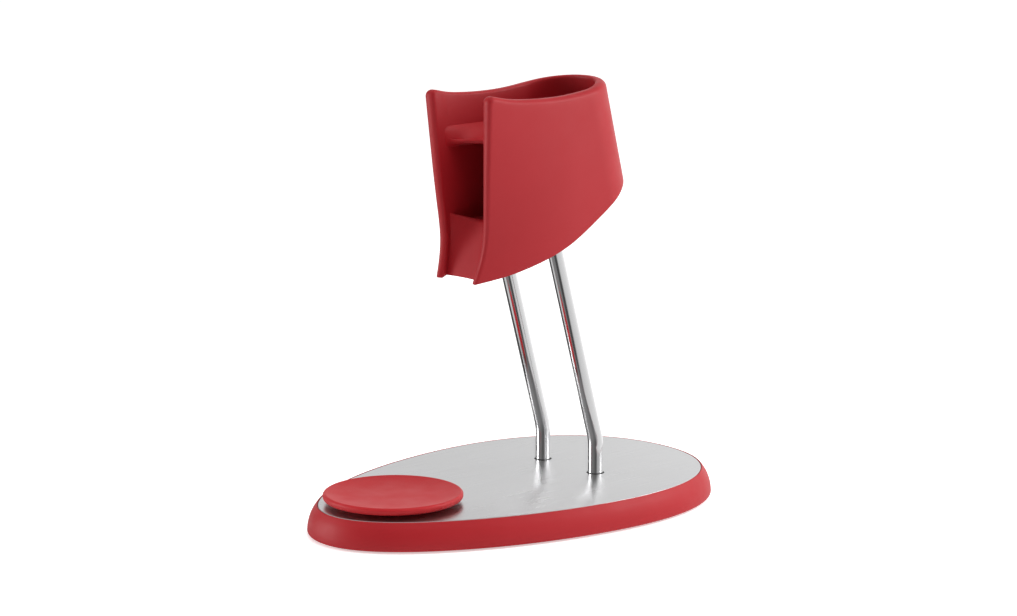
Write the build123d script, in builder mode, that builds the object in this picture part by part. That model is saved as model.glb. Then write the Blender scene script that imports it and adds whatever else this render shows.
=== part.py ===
"""Free-standing holder for a long-necked hand tool, with a drip dish.

Frame: origin on the table under the middle of the base, +Z up, +Y towards the back (the rods), -Y towards the
dish, +X towards the right rod. The stand is symmetric about the YZ plane. Millimetres throughout.
"""
from build123d import *
from math import asin, cos, hypot, pi, radians, sin, sqrt, tan
import os

os.makedirs("parts", exist_ok=True)

# ---- base -------------------------------------------------------------------------------------------------
PLATE_HALF_LENGTH = 113.6   # along Y
PLATE_HALF_WIDTH = 69.7     # along X, before the egg taper
EGG_POWER = 2.11            # 2 would be an ellipse, more is squarer
EGG_TAPER = 0.22            # how much wider the back is than the middle
PLATE_TOP = 14.8
PLATE_THICKNESS = 1.2
RIM_TOP_OUTSET = 1.3        # tray rim beyond the plate, at the top
RIM_MIDDLE_OUTSET = 4.0
RIM_OUTSET = 5.3            # and where it is widest
RIM_FOOT_OUTSET = 4.3
RIM_MIDDLE_HEIGHT = 8.0
RIM_WIDEST_HEIGHT = 2.4
PLATE_CLEARANCE = 0.15      # all round the plate in the tray
TRAY_SHELF = 5.0            # width of the shelf that the plate lies on
TRAY_FLOOR = 2.0
PAD_THICKNESS = 0.9
PAD_INSET = 4.0             # from the plate's outline
BALLAST_THICKNESS = 6.0
BALLAST_CLEARANCE = 0.5

# ---- rods -------------------------------------------------------------------------------------------------
ROD_RADIUS = 4.0
ROD_BACK = 44.15            # Y of both rods at the plate
ROD_BEND_HEIGHT = 32.4
ROD_BEND_RADIUS = 25.0
ROD_LEAN = 15.8             # degrees, towards the dish
ROD_TOP = 166.0
ROD_SCREW_RADIUS = 2.5
ROD_SCREW_DEPTH = 8.0       # thread engaged in the rod
ROD_TAP_DEPTH = 12.0
SCREW_CLEARANCE = 0.25
SCREW_HEAD_RADIUS = 4.4
SCREW_HEAD_HEIGHT = 2.6
WASHER_RADIUS = 5.0
WASHER_THICKNESS = 0.6
HEAD_CLEARANCE = 0.2
BUSH_WALL = 3.0
GASKET_WALL = 0.7
GASKET_PROUD = 0.25

# ---- plate fixings ----------------------------------------------------------------------------------------
BOSS_RADIUS = 4.0
BOSS_SCREW_RADIUS = 2.0
BOSS_HEAD_RADIUS = 3.6
BOSS_HEAD_HEIGHT = 2.4
BOSS_PLACES = [(45.0, 25.0), (-45.0, 25.0), (33.0, -48.0), (-33.0, -48.0)]

# ---- drip dish --------------------------------------------------------------------------------------------
DISH_RADIUS = 35.2
DISH_MARGIN = 3.3           # from its rim to the plate's front end
DISH_RIM_TOP = 20.7
DISH_BAND = 3.6             # height of the outer edge
DISH_EDGE = 1.7             # rounding of the rim
DISH_FOOT_RADIUS = 26.0
DISH_FOOT_WALL = 3.0
DISH_FLOOR = 1.5
LOCATOR_RADIUS = 21.0
LOCATOR_THICKNESS = 0.9
LOCATOR_CLEARANCE = 0.4
SPIGOT_RADIUS = 3.0
CLIP_RADIUS = 6.0
CLIP_THICKNESS = 1.0

# ---- cradle -----------------------------------------------------------------------------------------------
CRADLE_RADIUS = 27.5        # outside radius of the back
BACK_CENTRE = 32.7          # Y of the back's centre at BACK_HEIGHT
BACK_HEIGHT = 213.0
BACK_LEAN = 0.256           # backward step per mm downward
SIDE_BEND = 26.0            # Y where each side starts to curve in to its lip
LIP_HALF_LOW = 12.9         # middle of the lip from the centre plane, at the bottom
LIP_FLARE = 10.6            # and how much wider it gets by the top
LIP_FLARE_POWER = 0.75
LIP_POINTS = [(118.0, -33.6), (126.0, -30.6), (134.0, -28.3), (142.0, -27.0), (150.0, -26.9),
              (160.0, -27.5), (175.0, -28.4), (190.0, -29.1), (207.0, -29.9), (225.0, -30.7)]
                            # Z and Y of the lips, one pair for each section of the wall
WALL_LOW = 4.2
WALL_GAIN = 1.4             # extra wall thickness at the top
HEM_POINTS = [(-45.0, 120.1), (-34.0, 122.2), (-10.0, 127.5), (18.0, 137.5), (43.0, 152.4),
              (60.0, 164.8), (85.0, 181.2)]     # Y and Z of the wall's lower edge, seen from the side
CREST_POINTS = [(-45.0, 219.6), (-29.0, 217.2), (-14.0, 215.0), (2.0, 214.2), (18.0, 214.8),
                (34.0, 216.6), (48.0, 219.3), (60.0, 221.2), (85.0, 222.6)]     # and of its upper edge
INSERT_CLEARANCE = 0.05     # between the inserts and the wall

SADDLE_LOW = 122.0          # lower end of the saddle, where it is nearly flat across
SADDLE_LOW_HALF = 12.2      # half its width there
SADDLE_LOW_FRONT = -31.8    # Y of its edges there
SADDLE_LOW_DEPTH = 2.6      # and how far its middle lies behind them
SADDLE_HIGH = 155.6         # upper end, where it is a half circle
SADDLE_HIGH_HALF = 15.2
SADDLE_HIGH_FRONT = -26.5
SADDLE_HIGH_DEPTH = 15.1
SADDLE_EDGE_LENGTH = 15.5   # along Y, while the saddle's upper edge drops to the pocket's floor
POCKET_FLOOR = 150.0        # floor of the pocket behind the saddle
POCKET_KNEE = 24.0          # Y where the floor starts to rise
POCKET_RISE = 0.57          # upward step per mm behind it
SADDLE_HEM = 0.4            # how far the saddle stops above the wall's lower edge
SEAT_LOW = 190.8
SEAT_HIGH = 198.8
SEAT_THICKNESS = 4.0
SEAT_RADIUS = 18.0
SEAT_FRONT = -26.0
FUNNEL_MARGIN = 0.4         # the seat's funnel runs this far past its walls
SOCKET_WALL = 1.0           # of the saddle's insert, round the rod inside the outer wall
SOCKET_COVER_WALL = 2.03    # of the cradle's skin outside the socket, where the cradle is widest
SOCKET_BOSS_WALL = 3.0      # and on the open side
SOCKET_COVER = 2.0          # over the rod's upper end
GRUB_RADIUS = 1.5
GRUB_LENGTH = 4.0
GRUB_BITE = 1.0             # into the rod
GRUB_DROP = 7.0             # from the rod's upper end

PLATE_UNDER = PLATE_TOP - PLATE_THICKNESS
TRAY_INNER = PAD_THICKNESS + TRAY_FLOOR
BALLAST_TOP = TRAY_INNER + BALLAST_THICKNESS
ROD_HALF_SPACING = CRADLE_RADIUS - SOCKET_COVER_WALL - SOCKET_WALL - ROD_RADIUS
DISH_BACK = DISH_MARGIN + DISH_RADIUS - PLATE_HALF_LENGTH       # Y of its centre
LEAN = radians(ROD_LEAN)
ROD_UP = Vector(0, -sin(LEAN), cos(LEAN))


# ---- outlines ---------------------------------------------------------------------------------------------
def egg_points(outset, count=32):
    """Points on the base's egg outline, moved outwards by outset."""
    points = []
    for i in range(count):
        turn = 2 * pi * i / count
        along, across = cos(turn), sin(turn)
        y = PLATE_HALF_LENGTH * abs(along) ** (2 / EGG_POWER) * (1 if along > 0 else -1)
        x = PLATE_HALF_WIDTH * abs(across) ** (2 / EGG_POWER) * (1 if across > 0 else -1)
        x *= 1 + EGG_TAPER * y / PLATE_HALF_LENGTH
        normal_y = along / PLATE_HALF_LENGTH
        normal_x = across / PLATE_HALF_WIDTH
        size = hypot(normal_x, normal_y)
        points.append((x + outset * normal_x / size, y + outset * normal_y / size))
    return points


def egg_sketch(outset, height):
    """A flat egg at a height."""
    with BuildSketch(Plane.XY.offset(height)) as sketch:
        with BuildLine():
            Spline(*egg_points(outset), periodic=True)
        make_face()
    return sketch.sketch


def wall_share(height):
    """How far up the cradle a height is, from 0 to 1."""
    return (height - LIP_POINTS[0][0]) / (LIP_POINTS[-1][0] - LIP_POINTS[0][0])


def lip_front(height):
    """Y of the lips at a height."""
    above = next(i for i in range(1, len(LIP_POINTS)) if height <= LIP_POINTS[i][0])
    (low, start), (high, end) = LIP_POINTS[above - 1], LIP_POINTS[above]
    return start + (end - start) * (height - low) / (high - low)


def wall_section(height, inner_only=False, grow=0.0):
    """The hairpin outline of the cradle's wall at a height, or of what fits inside it."""
    share = wall_share(height)
    wall = WALL_LOW + WALL_GAIN * share
    lip_x = LIP_HALF_LOW + LIP_FLARE * share ** LIP_FLARE_POWER
    lip_y = lip_front(height)
    back = BACK_CENTRE + BACK_LEAN * (BACK_HEIGHT - height)
    middle = CRADLE_RADIUS - wall / 2
    step = middle - lip_x
    run = SIDE_BEND - lip_y
    bend = (run ** 2 + step ** 2) / (2 * step)
    turn = asin(run / bend)

    def side(offset, angle):
        return (middle - bend + (bend + offset) * cos(angle), SIDE_BEND - (bend + offset) * sin(angle))

    def half(offset):
        radius = middle + offset
        slope = radius * sin(pi / 4)
        return [side(offset, turn), side(offset, turn / 2), (radius, SIDE_BEND), (radius, back),
                (slope, back + slope), (0, back + radius)]

    def mirrored(point):
        return (-point[0], point[1])

    inside = -wall / 2 + (grow - INSERT_CLEARANCE if inner_only else 0)
    inner = half(inside)
    outer = half(wall / 2)
    tip = (lip_x - wall / 2 * sin(turn), lip_y - wall / 2 * cos(turn))
    with BuildSketch(Plane.XY.offset(height)) as sketch:
        with BuildLine():
            for path in ([inner] if inner_only else [inner, outer]):
                ThreePointArc(path[0], path[1], path[2])
                Line(path[2], path[3])
                ThreePointArc(path[3], path[4], path[5])
                ThreePointArc(path[5], mirrored(path[4]), mirrored(path[3]))
                Line(mirrored(path[3]), mirrored(path[2]))
                ThreePointArc(mirrored(path[2]), mirrored(path[1]), mirrored(path[0]))
            if inner_only:
                Line(inner[0], mirrored(inner[0]))
            else:
                ThreePointArc(inner[0], tip, outer[0])
                ThreePointArc(mirrored(inner[0]), mirrored(tip), mirrored(outer[0]))
        make_face()
    return sketch.sketch


def cradle_loft(inner_only):
    """The wall, or the space inside it, from the lowest section to the highest."""
    with BuildPart() as body:
        for height, _ in LIP_POINTS:
            add(wall_section(height, inner_only))
        loft()
    return body.part


def side_profile(low_points, high, raise_low=0.0):
    """A slab across the stand, between a lower and an upper line drawn from the side."""
    low = [(y, z + raise_low) for y, z in low_points]
    with BuildPart() as slab:
        with BuildSketch(Plane.YZ):
            with BuildLine():
                Spline(*low)
                Line(low[-1], high[-1])
                Spline(*reversed(high))
                Line(high[0], low[0])
            make_face()
        extrude(amount=2 * CRADLE_RADIUS, both=True)
    return slab.part


# ---- base pieces ------------------------------------------------------------------------------------------
def make_base_plate():
    with BuildPart() as base_plate:
        add(egg_sketch(0, PLATE_UNDER))
        extrude(amount=PLATE_THICKNESS)
        with Locations((ROD_HALF_SPACING, ROD_BACK, PLATE_TOP), (-ROD_HALF_SPACING, ROD_BACK, PLATE_TOP)):
            Hole(ROD_RADIUS + GASKET_WALL)
        with Locations((0, DISH_BACK, PLATE_TOP)):
            Hole(SPIGOT_RADIUS)
    return base_plate.part


def make_base_tray():
    with BuildPart() as base_tray:
        add(egg_sketch(RIM_FOOT_OUTSET, PAD_THICKNESS))
        add(egg_sketch(RIM_OUTSET, RIM_WIDEST_HEIGHT))
        add(egg_sketch(RIM_MIDDLE_OUTSET, RIM_MIDDLE_HEIGHT))
        add(egg_sketch(RIM_TOP_OUTSET, PLATE_TOP))
        loft()
        add(egg_sketch(PLATE_CLEARANCE, PLATE_UNDER))
        extrude(amount=2 * PLATE_THICKNESS, mode=Mode.SUBTRACT)
        add(egg_sketch(-TRAY_SHELF, TRAY_INNER))
        extrude(amount=PLATE_TOP, mode=Mode.SUBTRACT)
    return base_tray.part


def make_base_pad():
    with BuildPart() as base_pad:
        add(egg_sketch(-PAD_INSET, 0))
        extrude(amount=PAD_THICKNESS)
    return base_pad.part


def make_ballast_plate():
    rod_seat = SCREW_HEAD_HEIGHT + WASHER_THICKNESS + HEAD_CLEARANCE
    boss_seat = BOSS_HEAD_HEIGHT + HEAD_CLEARANCE
    with BuildPart() as ballast_plate:
        add(egg_sketch(-TRAY_SHELF - BALLAST_CLEARANCE, TRAY_INNER))
        extrude(amount=BALLAST_THICKNESS)
        for x in (-ROD_HALF_SPACING, ROD_HALF_SPACING):
            with BuildSketch(Plane.XY.offset(TRAY_INNER)):
                with Locations((x, ROD_BACK)):
                    Circle(WASHER_RADIUS + HEAD_CLEARANCE)
            extrude(amount=rod_seat, mode=Mode.SUBTRACT)
            with BuildSketch(Plane.XY.offset(TRAY_INNER)):
                with Locations((x, ROD_BACK)):
                    Circle(ROD_SCREW_RADIUS + SCREW_CLEARANCE)
            extrude(amount=BALLAST_THICKNESS, mode=Mode.SUBTRACT)
        with BuildSketch(Plane.XY.offset(TRAY_INNER)):
            with Locations(*BOSS_PLACES):
                Circle(BOSS_HEAD_RADIUS + HEAD_CLEARANCE)
        extrude(amount=boss_seat, mode=Mode.SUBTRACT)
        with BuildSketch(Plane.XY.offset(TRAY_INNER)):
            with Locations(*BOSS_PLACES):
                Circle(BOSS_SCREW_RADIUS + SCREW_CLEARANCE)
        extrude(amount=BALLAST_THICKNESS, mode=Mode.SUBTRACT)
    return ballast_plate.part


def make_plate_bosses():
    with BuildPart() as plate_bosses:
        with BuildSketch(Plane.XY.offset(BALLAST_TOP)):
            with Locations(*BOSS_PLACES):
                Circle(BOSS_RADIUS)
                Circle(BOSS_SCREW_RADIUS, mode=Mode.SUBTRACT)
        extrude(amount=PLATE_UNDER - BALLAST_TOP)
    return plate_bosses.part


def make_plate_screws():
    head_low = TRAY_INNER + HEAD_CLEARANCE
    head_high = head_low + BOSS_HEAD_HEIGHT
    with BuildPart() as plate_screws:
        with BuildSketch(Plane.XY.offset(head_low)):
            with Locations(*BOSS_PLACES):
                Circle(BOSS_HEAD_RADIUS)
        extrude(amount=BOSS_HEAD_HEIGHT)
        with BuildSketch(Plane.XY.offset(head_high)):
            with Locations(*BOSS_PLACES):
                Circle(BOSS_SCREW_RADIUS)
        extrude(amount=PLATE_UNDER - HEAD_CLEARANCE - head_high)
    return plate_screws.part


# ---- rods and their lower fixings -------------------------------------------------------------------------
def rod_point(height):
    """Y of a rod's axis at a height above the bend."""
    return ROD_BACK - tan(LEAN) * (height - ROD_BEND_HEIGHT)


def make_rod(side):
    x = side * ROD_HALF_SPACING
    foot = Vector(x, ROD_BACK, BALLAST_TOP)
    bend = Vector(x, ROD_BACK, ROD_BEND_HEIGHT)
    top = Vector(x, rod_point(ROD_TOP), ROD_TOP)
    with BuildPart() as rod:
        with BuildLine():
            FilletPolyline(foot, bend, top, radius=ROD_BEND_RADIUS)
        with BuildSketch(Plane(foot, z_dir=(0, 0, 1))):
            Circle(ROD_RADIUS)
        sweep()
        with BuildSketch(Plane(foot, z_dir=(0, 0, 1))):
            Circle(ROD_SCREW_RADIUS)
        extrude(amount=ROD_TAP_DEPTH, mode=Mode.SUBTRACT)
        add(grub_bar(side, GRUB_LENGTH), mode=Mode.SUBTRACT)
    return rod.part


def rings(places, inner, outer, low, height):
    """Equal upright rings at some places, or discs where inner is 0."""
    with BuildPart() as group:
        with BuildSketch(Plane.XY.offset(low)):
            with Locations(*places):
                Circle(outer)
                if inner > 0:
                    Circle(inner, mode=Mode.SUBTRACT)
        extrude(amount=height)
    return group.part


ROD_PLACES = [(ROD_HALF_SPACING, ROD_BACK), (-ROD_HALF_SPACING, ROD_BACK)]


def make_rod_bush(side):
    place = [(side * ROD_HALF_SPACING, ROD_BACK)]
    return rings(place, ROD_RADIUS, ROD_RADIUS + BUSH_WALL, BALLAST_TOP, PLATE_UNDER - BALLAST_TOP)


def make_rod_gasket(side):
    place = [(side * ROD_HALF_SPACING, ROD_BACK)]
    return rings(place, ROD_RADIUS, ROD_RADIUS + GASKET_WALL, PLATE_UNDER, PLATE_THICKNESS + GASKET_PROUD)


def make_rod_washers():
    low = TRAY_INNER + HEAD_CLEARANCE + SCREW_HEAD_HEIGHT
    return rings(ROD_PLACES, ROD_SCREW_RADIUS + SCREW_CLEARANCE, WASHER_RADIUS, low, WASHER_THICKNESS)


def make_rod_screws():
    head_low = TRAY_INNER + HEAD_CLEARANCE
    shank = BALLAST_TOP + ROD_SCREW_DEPTH - head_low - SCREW_HEAD_HEIGHT
    with BuildPart() as rod_screws:
        add(rings(ROD_PLACES, 0, SCREW_HEAD_RADIUS, head_low, SCREW_HEAD_HEIGHT))
        add(rings(ROD_PLACES, 0, ROD_SCREW_RADIUS, head_low + SCREW_HEAD_HEIGHT, shank))
    return rod_screws.part


# ---- drip dish --------------------------------------------------------------------------------------------
def make_drip_dish():
    foot_hollow = PLATE_TOP + LOCATOR_THICKNESS + LOCATOR_CLEARANCE
    hollow_radius = DISH_FOOT_RADIUS - DISH_FOOT_WALL
    floor_top = foot_hollow + DISH_FLOOR
    band_low = DISH_RIM_TOP - DISH_BAND
    inner_edge = DISH_RADIUS - 2 * DISH_EDGE
    depth = DISH_RIM_TOP - DISH_EDGE / 2 - floor_top
    bowl = (inner_edge ** 2 + depth ** 2) / (2 * depth)
    with BuildPart() as drip_dish:
        with BuildSketch(Plane.XZ.offset(-DISH_BACK)):
            with BuildLine():
                Line((0, foot_hollow), (hollow_radius, foot_hollow))
                Line((hollow_radius, foot_hollow), (hollow_radius, PLATE_TOP))
                Line((hollow_radius, PLATE_TOP), (DISH_FOOT_RADIUS, PLATE_TOP))
                underside = Line((DISH_FOOT_RADIUS, PLATE_TOP), (inner_edge + DISH_EDGE, band_low))
                band = Line(underside @ 1, (DISH_RADIUS, band_low + DISH_EDGE / 2))
                Line(band @ 1, (DISH_RADIUS, DISH_RIM_TOP - DISH_EDGE))
                ThreePointArc((DISH_RADIUS, DISH_RIM_TOP - DISH_EDGE),
                              (DISH_RADIUS - DISH_EDGE, DISH_RIM_TOP),
                              (inner_edge, DISH_RIM_TOP - DISH_EDGE / 2))
                ThreePointArc((inner_edge, DISH_RIM_TOP - DISH_EDGE / 2),
                              (inner_edge / 2, floor_top + bowl - sqrt(bowl ** 2 - inner_edge ** 2 / 4)),
                              (0, floor_top))
                Line((0, floor_top), (0, foot_hollow))
            make_face()
        revolve(axis=Axis((0, DISH_BACK, 0), (0, 0, 1)))
    return drip_dish.part


def make_dish_locator():
    with BuildPart() as dish_locator:
        with BuildSketch(Plane.XY.offset(PLATE_TOP)):
            with Locations((0, DISH_BACK)):
                Circle(LOCATOR_RADIUS)
        extrude(amount=LOCATOR_THICKNESS)
        with BuildSketch(Plane.XY.offset(PLATE_TOP)):
            with Locations((0, DISH_BACK)):
                Circle(SPIGOT_RADIUS)
        extrude(amount=-PLATE_THICKNESS - CLIP_THICKNESS)
    return dish_locator.part


def make_locator_clip():
    low = PLATE_UNDER - CLIP_THICKNESS
    return rings([(0, DISH_BACK)], SPIGOT_RADIUS, CLIP_RADIUS, low, CLIP_THICKNESS)


# ---- cradle -----------------------------------------------------------------------------------------------
def rod_end(side):
    """Middle of a rod's upper end."""
    return Vector(side * ROD_HALF_SPACING, rod_point(ROD_TOP), ROD_TOP)


def along_rod(side, radius, start, length):
    """A round bar on a rod's leaning axis, from start mm below the rod's upper end, length mm upwards."""
    with BuildPart() as bar:
        with BuildSketch(Plane(rod_end(side) - ROD_UP * start, x_dir=(1, 0, 0), z_dir=ROD_UP)):
            Circle(radius)
        extrude(amount=length)
    return bar.part


def grub_bar(side, length):
    """The space of a grub screw, whose point bites into the rod from the cradle's middle."""
    point_x = ROD_HALF_SPACING - ROD_RADIUS + GRUB_BITE
    centre = rod_end(side) - ROD_UP * GRUB_DROP
    start = Vector(side * point_x, centre.Y, centre.Z)
    with BuildPart() as bar:
        with BuildSketch(Plane(start, x_dir=(0, 1, 0), z_dir=(-side, 0, 0))):
            Circle(GRUB_RADIUS)
        extrude(amount=length)
    return bar.part


def make_cradle_shell():
    groove = ROD_RADIUS + SOCKET_WALL + INSERT_CLEARANCE
    above = SOCKET_COVER + INSERT_CLEARANCE
    with BuildPart() as cradle_shell:
        add(cradle_loft(False))
        add(side_profile(HEM_POINTS, CREST_POINTS), mode=Mode.INTERSECT)
        for side in (-1, 1):
            add(along_rod(side, groove, ROD_TOP / 2, ROD_TOP / 2 + above), mode=Mode.SUBTRACT)
    return cradle_shell.part


def make_shoulder_seat():
    """Shelf whose top slopes up from a round inner edge to the wall."""
    low = SEAT_LOW - SEAT_THICKNESS
    with BuildPart() as shoulder_seat:
        add(cradle_loft(True))
        with BuildSketch(Plane.XY.offset(low)):
            Rectangle(6 * CRADLE_RADIUS, 6 * CRADLE_RADIUS)
        extrude(amount=SEAT_HIGH - low, mode=Mode.INTERSECT)
        with BuildSketch(Plane.XY.offset(low)):
            with Locations((0, SEAT_FRONT)):
                Circle(SEAT_RADIUS)
        extrude(amount=SEAT_HIGH - low, mode=Mode.SUBTRACT)
        add(seat_funnel(), mode=Mode.SUBTRACT)
    return shoulder_seat.part


def seat_funnel():
    """The space above the shelf's sloping top, a little wider than the cradle's inside."""
    with BuildPart() as funnel:
        with BuildSketch(Plane.XY.offset(SEAT_LOW)):
            with Locations((0, SEAT_FRONT)):
                Circle(SEAT_RADIUS - FUNNEL_MARGIN)
        add(wall_section(SEAT_HIGH, True, FUNNEL_MARGIN))
        loft()
    return funnel.part


def saddle_section(height):
    """The space in front of the saddle at a height: an arc between the lips, open to the front."""
    share = (height - SADDLE_LOW) / (SADDLE_HIGH - SADDLE_LOW)
    half = SADDLE_LOW_HALF + (SADDLE_HIGH_HALF - SADDLE_LOW_HALF) * share
    front = SADDLE_LOW_FRONT + (SADDLE_HIGH_FRONT - SADDLE_LOW_FRONT) * share
    depth = SADDLE_LOW_DEPTH + (SADDLE_HIGH_DEPTH - SADDLE_LOW_DEPTH) * share
    ahead = front - CRADLE_RADIUS
    with BuildSketch(Plane.XY.offset(height)) as sketch:
        with BuildLine():
            ThreePointArc((-half, front), (0, front + depth), (half, front))
            Polyline((half, front), (half, ahead), (-half, ahead), (-half, front))
        make_face()
    return sketch.sketch


def saddle_cut():
    """The tapering space that the tool's neck takes, run a little past both ends."""
    with BuildPart() as cut:
        add(saddle_section(SADDLE_LOW - SADDLE_LOW_DEPTH))
        add(saddle_section((SADDLE_LOW + SADDLE_HIGH) / 2))
        add(saddle_section(SADDLE_HIGH))
        loft()
    return cut.part


def saddle_block():
    """What fills the cradle below the pocket's floor, with a boss round each rod."""
    far = 4 * CRADLE_RADIUS
    edge_back = SADDLE_HIGH_FRONT + SADDLE_EDGE_LENGTH
    with BuildPart() as block:
        with BuildSketch(Plane.YZ):
            with BuildLine():
                Polyline((-far, 0), (-far, SADDLE_HIGH), (SADDLE_HIGH_FRONT, SADDLE_HIGH),
                         (edge_back, POCKET_FLOOR), (POCKET_KNEE, POCKET_FLOOR),
                         (far, POCKET_FLOOR + POCKET_RISE * (far - POCKET_KNEE)), (far, 0), close=True)
            make_face()
        extrude(amount=far, both=True)
        for side in (-1, 1):
            add(along_rod(side, ROD_RADIUS + SOCKET_BOSS_WALL, ROD_TOP / 2, ROD_TOP / 2 + SOCKET_COVER))
        add(cradle_loft(True), mode=Mode.INTERSECT)
    return block.part


def make_neck_saddle():
    """Solid lower insert: leaning saddle in front, sockets for the rods behind it."""
    with BuildPart() as neck_saddle:
        add(saddle_block())
        for side in (-1, 1):
            add(along_rod(side, ROD_RADIUS + SOCKET_WALL, ROD_TOP / 2, ROD_TOP / 2 + SOCKET_COVER))
        add(side_profile(HEM_POINTS, CREST_POINTS, raise_low=SADDLE_HEM), mode=Mode.INTERSECT)
        add(saddle_cut(), mode=Mode.SUBTRACT)
        for side in (-1, 1):
            add(along_rod(side, ROD_RADIUS, ROD_TOP / 2, ROD_TOP / 2), mode=Mode.SUBTRACT)
            add(grub_bar(side, CRADLE_RADIUS), mode=Mode.SUBTRACT)
    return neck_saddle.part


def make_rod_grub_screws():
    with BuildPart() as rod_grub_screws:
        for side in (-1, 1):
            add(grub_bar(side, GRUB_LENGTH))
    return rod_grub_screws.part


PIECES = {
    "base_plate": make_base_plate(),
    "base_tray": make_base_tray(),
    "base_pad": make_base_pad(),
    "ballast_plate": make_ballast_plate(),
    "plate_bosses": make_plate_bosses(),
    "plate_screws": make_plate_screws(),
    "rod_washers": make_rod_washers(),
    "rod_screws": make_rod_screws(),
    "drip_dish": make_drip_dish(),
    "dish_locator": make_dish_locator(),
    "locator_clip": make_locator_clip(),
    "cradle_shell": make_cradle_shell(),
    "shoulder_seat": make_shoulder_seat(),
    "neck_saddle": make_neck_saddle(),
    "rod_grub_screws": make_rod_grub_screws(),
}
for side_name, side_sign in (("left", -1), ("right", 1)):
    PIECES[f"rod_{side_name}"] = make_rod(side_sign)
    PIECES[f"rod_bush_{side_name}"] = make_rod_bush(side_sign)
    PIECES[f"rod_gasket_{side_name}"] = make_rod_gasket(side_sign)

for name, piece in PIECES.items():
    piece.label = name
    export_step(piece, f"parts/{name}.step")
    print(name, round(piece.volume, 1), "mm3")
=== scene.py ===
"""Free-standing holder for a hand tool, with a drip dish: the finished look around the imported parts."""
from math import asin, atan2, cos, pi, radians, sin, sqrt, tan

import bmesh
import bpy
from mathutils import Matrix, Vector


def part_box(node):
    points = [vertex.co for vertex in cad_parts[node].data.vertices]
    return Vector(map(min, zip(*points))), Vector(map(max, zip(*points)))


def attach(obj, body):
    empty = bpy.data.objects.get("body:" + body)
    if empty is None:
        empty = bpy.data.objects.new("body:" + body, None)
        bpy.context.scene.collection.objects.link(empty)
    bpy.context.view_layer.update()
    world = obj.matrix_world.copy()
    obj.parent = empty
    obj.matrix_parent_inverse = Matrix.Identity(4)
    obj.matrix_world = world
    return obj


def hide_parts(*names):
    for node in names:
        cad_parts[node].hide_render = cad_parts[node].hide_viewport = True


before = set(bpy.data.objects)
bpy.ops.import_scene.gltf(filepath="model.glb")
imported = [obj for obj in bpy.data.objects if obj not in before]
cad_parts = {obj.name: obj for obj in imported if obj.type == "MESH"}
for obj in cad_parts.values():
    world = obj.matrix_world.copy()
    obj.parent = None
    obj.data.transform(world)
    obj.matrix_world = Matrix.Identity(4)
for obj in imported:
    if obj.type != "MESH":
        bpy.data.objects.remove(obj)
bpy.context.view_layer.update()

mm = 0.001


# ---- Fixings inside the base ----
# Screws, washers, threaded bosses and a spring clip, all zinc-plated steel. They hold the plate and the
# rods down on the ballast from below, and the rods' grub screws are of the same stock.
def new_material(name, colour, roughness, metallic=0.0):
    """A principled material, with its nodes, its shader and an object-space coordinate to build on."""
    material = bpy.data.materials.new(name)
    material.use_nodes = True
    nodes, links = material.node_tree.nodes, material.node_tree.links
    shader = nodes["Principled BSDF"]
    shader.inputs["Base Color"].default_value = (*colour, 1)
    shader.inputs["Roughness"].default_value = roughness
    shader.inputs["Metallic"].default_value = metallic
    place = nodes.new("ShaderNodeTexCoord")
    return material, nodes, links, shader, place.outputs["Object"]


def grain(nodes, links, place, scale, detail=2.0, stretch=(1, 1, 1)):
    """Cloudy grain of about 1/scale metres, drawn out along an axis by a small stretch value."""
    mapping = nodes.new("ShaderNodeMapping")
    mapping.inputs["Scale"].default_value = stretch
    links.new(place, mapping.inputs["Vector"])
    noise = nodes.new("ShaderNodeTexNoise")
    noise.inputs["Scale"].default_value = scale
    noise.inputs["Detail"].default_value = detail
    links.new(mapping.outputs["Vector"], noise.inputs["Vector"])
    return noise.outputs["Fac"]


def between(nodes, links, factor, low, high):
    """A value that runs from low to high with a 0 to 1 pattern."""
    span = nodes.new("ShaderNodeMapRange")
    span.inputs["From Min"].default_value = 0.3
    span.inputs["From Max"].default_value = 0.7
    span.inputs["To Min"].default_value = low
    span.inputs["To Max"].default_value = high
    links.new(factor, span.inputs["Value"])
    return span.outputs["Result"]


def two_tone(nodes, links, factor, dark, light, shader):
    """Base colour that drifts between two shades."""
    mix = nodes.new("ShaderNodeMix")
    mix.data_type = "RGBA"
    mix.inputs["A"].default_value = (*dark, 1)
    mix.inputs["B"].default_value = (*light, 1)
    links.new(factor, mix.inputs["Factor"])
    links.new(mix.outputs["Result"], shader.inputs["Base Color"])


def raised(nodes, links, height, depth, strength, under=None):
    """Bump from a height pattern, on top of another bump if one is given."""
    bump = nodes.new("ShaderNodeBump")
    bump.inputs["Distance"].default_value = depth
    bump.inputs["Strength"].default_value = strength
    links.new(height, bump.inputs["Height"])
    if under:
        links.new(under, bump.inputs["Normal"])
    return bump.outputs["Normal"]


def zinc_steel():
    """Zinc plating: dull metal with a faint cloudy bloom."""
    material, nodes, links, shader, place = new_material("zinc_plate", (0.5, 0.5, 0.52), 0.35, 1.0)
    clouds = grain(nodes, links, place, 400)
    two_tone(nodes, links, clouds, (0.42, 0.43, 0.45), (0.6, 0.6, 0.61), shader)
    links.new(between(nodes, links, clouds, 0.28, 0.45), shader.inputs["Roughness"])
    return material


def dress(node, material):
    """Gives a CAD part its finish."""
    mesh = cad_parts[node].data
    mesh.materials.clear()
    mesh.materials.append(material)


zinc = zinc_steel()
for fixing in ("plate_bosses", "plate_screws", "rod_washers", "rod_screws", "locator_clip",
               "rod_grub_screws"):
    dress(fixing, zinc)


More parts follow.
